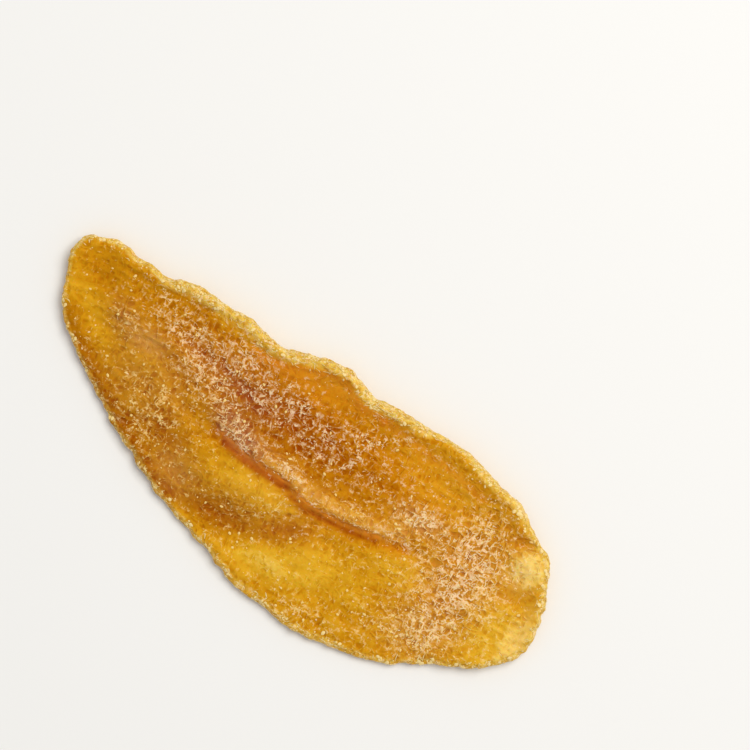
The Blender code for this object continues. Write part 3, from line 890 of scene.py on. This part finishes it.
@dataclass
class Flesh:
    """The slice's body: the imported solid, with its fine wrinkles added and its zones marked."""

    finish: DriedFlesh = field(default_factory=DriedFlesh)
    name: str = "dried_flesh"
    levels: int = 2
    crinkles: Waves = Waves(0.17, 1.9, 2.6, 19.0, 3.0)
    cross_crinkles: Waves = Waves(0.08, 1.4, 1.5, 76.0, 9.0)
    puckers: Waves = Waves(0.08, 1.0, 1.0, 0.0, 17.0)
    swells: Waves = Waves(0.26, 3.6, 1.8, 16.0, 29.0)
    rim_knobs: Waves = Waves(0.45, 2.2, 1.0, 0.0, 41.0)
    underside_slope: tuple = (-0.75, -0.1)
    middle_line: tuple = ((-62.0, 8.0), (-40.0, 4.0), (62.0, 0.0))
    ridge_middle: tuple = (8.0, 1.0)
    ridge_reach: tuple = (40.0, 10.0)
    lip_fade: tuple = (0.35, 1.25)
    thin_edge_crust: float = 0.58
    crust_frost: float = 0.60
    merge_within: float = 0.01
    quad_angle: float = 50.0
    hollow_reaches: tuple = ((10, 0.10), (60, 0.35))
    hollow_pull: float = 0.7

    def build(self) -> bpy.types.Object:
        """Build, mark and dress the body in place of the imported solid.

        Returns:
            The finished body.
        """
        piece = self.copy_of_solid()
        self.refine(piece)
        self.shape(piece)
        piece.data.shade_smooth()
        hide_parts(NODE)
        return finish_piece(piece, self.finish.material())

    def copy_of_solid(self) -> bpy.types.Object:
        """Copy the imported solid, and join up its triangles and pair them to quads.

        Returns:
            The copy.
        """
        piece = bpy.data.objects.new(self.name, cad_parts[NODE].data.copy())
        bpy.context.scene.collection.objects.link(piece)
        select_only(piece)
        bpy.ops.object.mode_set(mode="EDIT")
        bpy.ops.mesh.select_all(action="SELECT")
        bpy.ops.mesh.customdata_custom_splitnormals_clear()
        bpy.ops.mesh.remove_doubles(threshold=self.merge_within * MM)
        angle = math.radians(self.quad_angle)
        bpy.ops.mesh.tris_convert_to_quads(face_threshold=angle, shape_threshold=angle)
        bpy.ops.mesh.normals_make_consistent(inside=False)
        bpy.ops.object.mode_set(mode="OBJECT")
        return piece

    def refine(self, piece: bpy.types.Object) -> None:
        """Subdivide the piece smoothly, to about 0.35 mm between its vertices.

        Args:
            piece: The joined copy of the solid.
        """
        select_only(piece)
        bpy.ops.object.modifier_add(type="SUBSURF")
        smooth = piece.modifiers[-1]
        smooth.levels = self.levels
        smooth.render_levels = self.levels
        bpy.ops.object.modifier_apply(modifier=smooth.name)

    def shape(self, piece: bpy.types.Object) -> None:
        """Mark the piece's zones for the material, and raise its fine wrinkles.

        Args:
            piece: The refined copy of the solid.
        """
        mesh = piece.data
        places = vertex_values(mesh.vertices, "co") / MM
        normals = vertex_values(mesh.vertex_normals, "vector")
        crust = self.crust(places, self.insets(mesh, places, normals))
        marks = {zone: zones.at(places[:, 0], places[:, 1]) for zone, zones in ZONE_MAPS.items()}
        marks["frost"] = np.maximum(marks["frost"], self.crust_frost * crust)
        marks["crust"] = crust
        paleness = np.where(self.past_middle(places), 1.0, self.thin_edge_crust)
        # The pale crust is kept off the painted glow on the shaded walls
        marks["rim"] = crust * (1 - marks["fold"]) * paleness

        rise = self.crinkles.crests_at(places) + self.cross_crinkles.crests_at(places)
        rise = rise + self.puckers.at(places) + self.swells.at(places)
        rise = rise + self.rim_knobs.at(places) * crust
        rise = rise * eased(*self.underside_slope, normals[:, 2])
        places = places + normals * rise[:, None]
        places[:, 2] = np.maximum(places[:, 2], 0.0)
        mesh.vertices.foreach_set("co", (places * MM).ravel())
        mesh.update()

        marks["hollow"] = self.hollows(mesh, places)
        for zone, values in marks.items():
            mark = mesh.attributes.new(zone, "FLOAT", "POINT")
            mark.data.foreach_set("value", values)

    def insets(self, mesh: bpy.types.Mesh, places: np.ndarray, normals: np.ndarray) -> np.ndarray:
        """Return how far each vertex lies from the slice's outline, seen from above.

        Args:
            mesh: The refined mesh.
            places: Its vertices' places, in millimetres.
            normals: Its vertices' normals.

        Returns:
            One distance for each vertex, in millimetres.
        """
        edges = vertex_values(mesh.edges, "vertices", width=2, kind=np.int32)
        turns = (normals[edges[:, 0], 2] > 0) != (normals[edges[:, 1], 2] > 0)
        middles = places[edges[turns]].mean(axis=1)
        off_ridge = np.abs(middles[:, :2] - self.ridge_middle) >= self.ridge_reach
        rim = middles[off_ridge.any(axis=1)]
        tree = KDTree(len(rim))
        for number, place in enumerate(rim):
            tree.insert((place[0], place[1], 0.0), number)
        tree.balance()
        return np.array([tree.find((place[0], place[1], 0.0))[2] for place in places])

    def crust(self, places: np.ndarray, inset: np.ndarray) -> np.ndarray:
        """Return how much each vertex belongs to the pale lip.

        Args:
            places: The vertices' places, in millimetres.
            inset: How far they lie from the outline.

        Returns:
            One value for each vertex, 1 at the outline and 0 inside.
        """
        thick = np.interp(places[:, 0], *np.array(THICK_EDGE_LIP).T)
        thin = np.interp(places[:, 0], *np.array(THIN_EDGE_LIP).T)
        width = np.where(self.past_middle(places), thick, thin)
        return 1 - eased(*self.lip_fade, inset / width)

    def past_middle(self, places: np.ndarray) -> np.ndarray:
        """Return which places lie on the thick edge's side of the slice."""
        return places[:, 1] > np.interp(places[:, 0], *np.array(self.middle_line).T)

    def hollows(self, mesh: bpy.types.Mesh, places: np.ndarray) -> np.ndarray:
        """Return how deep each vertex lies below its surroundings: above 0 in a hollow.

        Args:
            mesh: The refined mesh.
            places: Its vertices' places, in millimetres.

        Returns:
            One value for each vertex, between -1 and 1.
        """
        edges = vertex_values(mesh.edges, "vertices", width=2, kind=np.int32)
        count = len(places)
        neighbours = np.bincount(edges.ravel(), minlength=count)
        normals = vertex_values(mesh.vertex_normals, "vector")
        spread = places.copy()
        hollow = np.zeros(count)
        done = 0
        for rounds, depth in self.hollow_reaches:
            for _ in range(rounds - done):
                for axis in range(3):
                    value = spread[:, axis]
                    total = np.bincount(edges[:, 0], value[edges[:, 1]], minlength=count)
                    total += np.bincount(edges[:, 1], value[edges[:, 0]], minlength=count)
                    spread[:, axis] += self.hollow_pull * (total / neighbours - value)
            done = rounds
            hollow += np.clip(((spread - places) * normals).sum(axis=1) / depth, -1.0, 1.0)
        return np.clip(hollow, -1.0, 1.0)


def vertex_values(
    items: bpy.types.bpy_prop_collection, name: str, width: int = 3, kind: type = np.float32
) -> np.ndarray:
    """Return one property of all the items as an array.

    Args:
        items: The mesh's vertices, edges or faces.
        name: The property's name.
        width: How many numbers the property holds.
        kind: The type of its numbers.

    Returns:
        One row for each item, or one number if the width is 1.
    """
    values = np.empty(len(items) * width, kind)
    items.foreach_get(name, values)
    values = values.astype(float) if kind is np.float32 else values
    return values.reshape(-1, width) if width > 1 else values


class Where(Enum):
    """What draws loose sugar to a place."""

    PALE_FROST = "with the frost, most of all on orange flesh"
    GOLDEN_FROST = "with the frost on golden flesh"
    CRUST = "along the pale edges"


class Ground:
    """The flesh's surface, on which the sugar is laid."""

    on_golden: float = 0.4

    def __init__(self, piece: bpy.types.Object) -> None:
        """Read the surface of the flesh.

        Args:
            piece: The finished flesh.
        """
        mesh = piece.data
        self.centres = vertex_values(mesh.polygons, "center") / MM
        self.normals = vertex_values(mesh.polygons, "normal")
        self.areas = vertex_values(mesh.polygons, "area", width=1) / MM**2
        corners = vertex_values(mesh.polygons, "loop_start", width=1, kind=np.int32)
        loops = vertex_values(mesh.loops, "vertex_index", width=1, kind=np.int32)
        self.crust, self.frost, self.amber = (
            vertex_values(mesh.attributes[zone].data, "value", width=1)[loops[corners]]
            for zone in ("crust", "frost", "amber")
        )
        places = vertex_values(mesh.vertices, "co") / MM
        faces = [tuple(face.vertices) for face in mesh.polygons]
        self.tree = BVHTree.FromPolygons(places.tolist(), faces)

    def sugar(self, where: Where) -> np.ndarray:
        """Return how much sugar each face draws.

        Args:
            where: What draws the sugar.

        Returns:
            One value for each face, from 0 to 1.
        """
        if where is Where.PALE_FROST:
            return self.frost * (self.on_golden + (1 - self.on_golden) * self.amber)
        if where is Where.GOLDEN_FROST:
            return self.frost * (1 - self.amber)
        return self.crust

    def draw(self, weights: np.ndarray, count: int, draws: np.random.Generator) -> np.ndarray:
        """Return the numbers of faces drawn by chance, as often as their weights say."""
        chances = weights * self.areas
        return draws.choice(len(chances), size=count, p=chances / chances.sum())

    def settle(self, places: np.ndarray) -> tuple:
        """Return the nearest places on the surface, and the normals there."""
        found = [self.tree.find_nearest(Vector(place))[:2] for place in places]
        return tuple(np.array([value[:] for value in values]) for values in zip(*found))


def unit(values: np.ndarray) -> np.ndarray:
    """Return the directions of rows of numbers, each of length 1."""
    return values / np.maximum(np.linalg.norm(values, axis=-1, keepdims=True), TINY)


def patchy(waves: np.ndarray, share: tuple, ends: tuple) -> np.ndarray:
    """Return how much more or less sugar lies at each place by chance.

    Args:
        waves: The height of uneven waves at the places, about zero.
        share: The amount where the waves are at zero, and how far they change it.
        ends: The least and the greatest amount.

    Returns:
        One factor for each place.
    """
    return np.clip(share[0] + share[1] * waves, *ends)


def joined_piece(name: str, places: np.ndarray, faces: np.ndarray) -> bpy.types.Object:
    """Return one piece made of many copies of a shape.

    Args:
        name: The piece's name.
        places: For each copy, its vertices' places in millimetres.
        faces: The shape's faces, by the numbers of their vertices, repeated for each copy.

    Returns:
        The new object.
    """
    copies, count = places.shape[:2]
    firsts = (np.arange(copies) * count)[:, None, None]
    mesh = bpy.data.meshes.new(name)
    all_faces = (faces[None] + firsts).reshape(-1, faces.shape[1])
    mesh.from_pydata((places.reshape(-1, 3) * MM).tolist(), [], all_faces.tolist())
    piece = bpy.data.objects.new(name, mesh)
    bpy.context.scene.collection.objects.link(piece)
    return piece


@dataclass
class Threads:
    """Sugar dried in thin raised threads along the crooked lines of the skin. Its sizes are in
    millimetres, and its shares say how many threads follow each kind of line along the slice."""

    name: str
    finish: DriedSugar
    count: int
    seed: int
    where: Where
    least: float
    evenness: float = 0.8
    sides: int = 3
    rings: int = 4
    step: tuple = (0.10, 0.22)
    radius: tuple = (0.07, 0.15)
    unevenness: tuple = (0.35, 1.6)
    taper: float = 0.22
    flatness: float = 0.55
    sunk: float = 0.3
    slope_step: float = 0.05
    flat_guard: float = 0.05
    longest_move: float = 0.2
    moves_at_start: int = 3
    patches: Waves = Waves(1.0, 2.2, 1.5, 10.0, 53.0)
    patch_share: tuple = (0.60, 1.5)
    patch_range: tuple = (0.03, 1.5)
    lines: tuple = (
        Waves(1.0, 1.30, 1.0, 0.0, 71.0),
        Waves(1.0, 1.25, 2.6, 8.0, 73.0),
        Waves(1.0, 1.35, 2.4, 94.0, 79.0),
    )
    line_shares: tuple = (
        (-64.0, 0.6, 0.4), (0.0, 0.6, 0.4), (12.0, 0.3, 0.7), (30.0, 0.3, 0.7), (38.0, 0.1, 0.45),
        (64.0, 0.1, 0.45),
    )

    def build(self, ground: Ground) -> bpy.types.Object:
        """Lay the threads on the flesh and dress them.

        Args:
            ground: The flesh's surface.

        Returns:
            The threads as one piece.
        """
        draws = np.random.default_rng(self.seed)
        paths, normals = self.walk(ground, draws, self.starts(ground, draws))
        places = self.tubes(draws, paths, normals)
        piece = joined_piece(self.name, places, self.tube_faces())
        piece.data.shade_smooth()
        return finish_piece(piece, self.finish.material())

    def starts(self, ground: Ground, draws: np.random.Generator) -> np.ndarray:
        """Return places where threads start, most of them in thick frost.

        Args:
            ground: The flesh's surface.
            draws: The source of chance.

        Returns:
            One place for each thread.
        """
        patches = patchy(self.patches.at(ground.centres), self.patch_share, self.patch_range)
        wanted = np.clip(ground.sugar(self.where) * patches - self.least, 0.0, 1.0)
        weights = wanted**self.evenness * (ground.normals[:, 2] > 0.0)
        return ground.centres[ground.draw(weights, self.count, draws)]

    def line_at(self, places: np.ndarray, kinds: np.ndarray) -> tuple:
        """Return how far off its line each place is, and which way that grows.

        Args:
            places: The places, in millimetres.
            kinds: For each place, the number of the kind of line that it follows.

        Returns:
            A value for each place, 0 on the line, and its slope along X and Y.
        """
        value = np.empty(len(places))
        slope = np.empty((len(places), 2))
        for number, waves in enumerate(self.lines):
            mine = kinds == number
            here = places[mine] * (1.0, 1.0, 0.0)
            value[mine] = waves.at(here)
            for axis, shift in enumerate(np.eye(3)[:2] * self.slope_step):
                slope[mine, axis] = (waves.at(here + shift) - value[mine]) / self.slope_step
        return value, slope

    def walk(self, ground: Ground, draws: np.random.Generator, starts: np.ndarray) -> tuple:
        """Return the paths of threads that follow crooked lines over the flesh.

        Args:
            ground: The flesh's surface.
            draws: The source of chance.
            starts: Where the threads start.

        Returns:
            For each thread, its places and the normals at them.
        """
        count = len(starts)
        shares = np.array(self.line_shares)
        first, second = (np.interp(starts[:, 0], shares[:, 0], share) for share in shares.T[1:])
        chance = draws.random(count)
        kinds = np.where(chance < first, 0, np.where(chance < first + second, 1, 2))
        way = draws.choice((-1.0, 1.0), count)[:, None]
        steps = draws.uniform(*self.step, count)[:, None]
        place = starts
        paths, upright = [], []
        for ring in range(self.rings):
            for _ in range(self.moves_at_start if ring == 0 else 1):
                value, slope = self.line_at(place, kinds)
                steep = (slope**2).sum(axis=1)
                back = -(value / (steep + self.flat_guard))[:, None] * slope
                length = np.linalg.norm(back, axis=1, keepdims=True)
                back *= np.minimum(1.0, self.longest_move / np.maximum(length, TINY))
                place = place + np.pad(back, ((0, 0), (0, 1)))
            place, normal = ground.settle(place)
            paths.append(place)
            upright.append(normal)
            along = np.stack([-slope[:, 1], slope[:, 0], np.zeros(count)], axis=1)
            place = place + unit(along) * way * steps
        return np.stack(paths, axis=1), np.stack(upright, axis=1)

    def tubes(
        self, draws: np.random.Generator, paths: np.ndarray, normals: np.ndarray
    ) -> np.ndarray:
        """Return tubes round the paths, uneven in width and thinned towards both ends.

        Args:
            draws: The source of chance.
            paths: The threads' places.
            normals: The normals at them.

        Returns:
            For each thread, its rings' vertices and its two tips.
        """
        ahead = unit(np.gradient(paths, axis=1))
        side = unit(np.cross(normals, ahead))
        radius = draws.uniform(*self.radius, len(paths))[:, None]
        uneven = draws.uniform(*self.unevenness, paths.shape[:2])
        profile = np.sin(np.linspace(self.taper, math.pi - self.taper, self.rings)) ** 0.5
        radius = (radius * uneven * profile)[..., None]
        middle = paths + normals * radius * self.flatness * (1 - 2 * self.sunk)
        upwards = normals * self.flatness
        turns = math.pi / 2 + 2 * math.pi * np.arange(self.sides) / self.sides
        spokes = (side * math.cos(turn) + upwards * math.sin(turn) for turn in turns)
        rings = np.stack([middle + spoke * radius for spoke in spokes], axis=2)
        past = ahead * radius
        tips = np.stack([middle[:, 0] - past[:, 0], middle[:, -1] + past[:, -1]], axis=1)
        return np.concatenate([rings.reshape(len(paths), -1, 3), tips], axis=1)

    def tube_faces(self) -> np.ndarray:
        """Return the faces of one thread, a closed tube.

        Returns:
            Triangles that point outwards, by the numbers of their vertices.
        """
        faces = []
        sides = self.sides
        first_tip = sides * self.rings
        last = sides * (self.rings - 1)
        for ring in range(self.rings - 1):
            for corner in range(sides):
                here = sides * ring + corner
                beside = sides * ring + (corner + 1) % sides
                faces.append((here, beside, beside + sides))
                faces.append((here, beside + sides, here + sides))
        for corner in range(sides):
            following = (corner + 1) % sides
            faces.append((following, corner, first_tip))
            faces.append((last + corner, last + following, first_tip + 1))
        return np.array(faces)


@dataclass
class Crystals:
    """Loose sugar stuck to the flesh: uneven crystals, modelled once and copied. Their size is
    in millimetres, and their flatness and length are shares of it."""

    name: str
    finish: DriedSugar
    count: int
    seed: int
    where: Where
    size: tuple
    flatness: tuple
    length: tuple = (0.75, 1.35)
    roughness: float = 0.30
    floor_share: float = 0.06
    gathering: float = 1.5
    smallness: float = 3.0
    patches: Waves = Waves(1.0, 2.0, 1.3, 10.0, 53.0)
    patch_share: tuple = (0.4, 1.8)
    patch_range: tuple = (0.04, 1.6)
    side_hint: tuple = (0.31, 0.27, 0.91)
    top_slope: float = 0.05
    edge_slope: float = -0.35
    sunk: float = 0.3

    def build(self, ground: Ground) -> bpy.types.Object:
        """Lay the crystals on the flesh and dress them.

        Args:
            ground: The flesh's surface.

        Returns:
            The crystals as one piece.
        """
        draws = np.random.default_rng(self.seed)
        vertices, faces = self.shape()
        picked = ground.draw(self.weights(ground), self.count, draws)
        normals = ground.normals[picked]
        least, most = self.size
        size = least + (most - least) * draws.random(self.count) ** self.smallness
        flat = draws.uniform(*self.flatness, self.count)
        long = draws.uniform(*self.length, self.count)
        scale = np.stack([size * long, size / long, size * flat], axis=1) / 2
        spin = draws.uniform(0.0, 2 * math.pi, self.count)[:, None]
        side = unit(np.cross(normals, self.side_hint))
        other = np.cross(normals, side)
        first = side * np.cos(spin) + other * np.sin(spin)
        turned = np.stack([first, np.cross(normals, first), normals], axis=1)
        centres = ground.centres[picked] + normals * (scale[:, 2:] * (1 - 2 * self.sunk))
        places = np.einsum("cva,cab->cvb", vertices[None] * scale[:, None], turned)
        piece = joined_piece(self.name, places + centres[:, None], faces)
        return finish_piece(piece, self.finish.material())

    def weights(self, ground: Ground) -> np.ndarray:
        """Return how often each face of the flesh takes a crystal, for its area.

        Args:
            ground: The flesh's surface.

        Returns:
            One weight for each face.
        """
        patches = patchy(self.patches.at(ground.centres), self.patch_share, self.patch_range)
        wanted = ground.sugar(self.where) ** self.gathering * patches
        if self.where is Where.CRUST:
            return wanted * (ground.normals[:, 2] > self.edge_slope)
        return (self.floor_share + wanted) * (ground.normals[:, 2] > self.top_slope)

    def shape(self) -> tuple:
        """Model one uneven crystal of 20 faces, about 1 in radius.

        Returns:
            Its vertices' places and its faces.
        """
        bpy.ops.object.select_all(action="DESELECT")
        bpy.ops.mesh.primitive_ico_sphere_add(subdivisions=1, radius=1.0)
        crystal = bpy.context.active_object
        bpy.ops.object.mode_set(mode="EDIT")
        bpy.ops.mesh.select_all(action="SELECT")
        bpy.ops.transform.vertex_random(offset=self.roughness, seed=self.seed)
        bpy.ops.object.mode_set(mode="OBJECT")
        vertices = vertex_values(crystal.data.vertices, "co")
        faces = np.array([tuple(face.vertices) for face in crystal.data.polygons])
        mesh = crystal.data
        bpy.data.objects.remove(crystal)
        bpy.data.meshes.remove(mesh)
        return vertices, faces


@dataclass(frozen=True)
class Studio:
    """The floor, the soft light and the camera that looks straight down, as in the photo."""

    floor_size: float = 8.0
    sky: str = "#FFFFFF"
    sky_strength: float = 0.50
    key_from: tuple = (0.20, 0.55, 1.0)
    key_size: float = 0.70
    key_power: float = 8.95
    key_colour: str = "#FFFDF8"
    camera_height: float = 0.60
    sensor: float = 36.0
    frame_pixels: float = 750.0
    pixels_per_mm: float = 4.77
    slice_turn: float = 36.0
    slice_at: tuple = (282.9, 471.6)

    def build(self) -> None:
        """Build the floor, the light and the camera."""
        self.add_floor()
        self.add_light()
        self.add_camera()
        bpy.context.scene.view_settings.view_transform = "Standard"

    def add_floor(self) -> None:
        """Add the floor that the slice lies on."""
        bpy.ops.object.select_all(action="DESELECT")
        bpy.ops.mesh.primitive_plane_add(size=self.floor_size)
        floor = bpy.context.active_object
        floor.name = "floor"
        floor.data.materials.append(PaleFloor().material())

    def add_light(self) -> None:
        """Add an even pale sky, and a large soft light from beyond the thick edge."""
        world = bpy.data.worlds.new("pale_sky")
        world.use_nodes = True
        bpy.context.scene.world = world
        background = world.node_tree.nodes["Background"]
        background.inputs["Color"].default_value = linear(self.sky)
        background.inputs["Strength"].default_value = self.sky_strength
        lamp = bpy.data.lights.new("key_light", "AREA")
        lamp.size = self.key_size
        lamp.energy = self.key_power
        lamp.color = linear(self.key_colour)[:3]
        key = bpy.data.objects.new("key_light", lamp)
        key.location = self.key_from
        key.rotation_euler = (-Vector(self.key_from)).to_track_quat("-Z", "Y").to_euler()
        bpy.context.scene.collection.objects.link(key)

    def add_camera(self) -> None:
        """Add the camera, so that the slice falls on the photo's own pixels."""
        data = bpy.data.cameras.new("camera")
        data.sensor_width = self.sensor
        seen_width = self.frame_pixels / self.pixels_per_mm * MM
        middle = (cad_bounds[1].z - cad_bounds[0].z) / 2
        data.lens = self.sensor * (self.camera_height - middle) / seen_width
        right = (self.frame_pixels / 2 - self.slice_at[0]) / self.pixels_per_mm * MM
        up = (self.slice_at[1] - self.frame_pixels / 2) / self.pixels_per_mm * MM
        turn = math.radians(self.slice_turn)
        camera = bpy.data.objects.new("camera", data)
        camera.location = (
            right * math.cos(turn) - up * math.sin(turn),
            right * math.sin(turn) + up * math.cos(turn),
            self.camera_height,
        )
        camera.rotation_euler = Euler((0.0, 0.0, turn))
        bpy.context.scene.collection.objects.link(camera)
        bpy.context.scene.camera = camera


DRY_SUGAR = DriedSugar("dry_sugar", "#F2CC94", roughness=0.6)
WHITE_SUGAR = DriedSugar("white_sugar", "#FADFB4", roughness=0.5)
GRAIN_SUGAR = DriedSugar("sugar_grains", "#F2D080", roughness=0.6)
EDGE_SUGAR = DriedSugar("edge_crust_sugar", "#F2D690", roughness=0.6)


def main() -> None:
    """Build the slice and its sugar, then the studio."""
    ground = Ground(Flesh().build())
    sugars = (
        Threads("dry_threads", DRY_SUGAR, count=300, seed=23, where=Where.PALE_FROST, least=0.10),
        Threads(
            "white_threads", WHITE_SUGAR, count=260, seed=29,
            where=Where.PALE_FROST, least=0.50, evenness=0.7,
        ),
        Threads(
            "edge_threads", EDGE_SUGAR, count=460, seed=37,
            where=Where.CRUST, least=0.10, rings=6, step=(0.16, 0.34),
        ),
        Crystals(
            "fine_grains", GRAIN_SUGAR, count=560, seed=31,
            where=Where.GOLDEN_FROST, size=(0.22, 0.80), flatness=(0.3, 0.5),
        ),
        Crystals(
            "clumps", DRY_SUGAR, count=460, seed=47,
            where=Where.PALE_FROST, size=(0.20, 0.62), flatness=(0.3, 0.5),
            roughness=0.35, floor_share=0.0,
        ),
        Crystals(
            "edge_crust", EDGE_SUGAR, count=640, seed=59,
            where=Where.CRUST, size=(0.35, 1.0), flatness=(0.20, 0.35),
        ),
    )
    for sugar in sugars:
        sugar.build(ground)
    Studio().build()


if __name__ == "__main__":
    main()
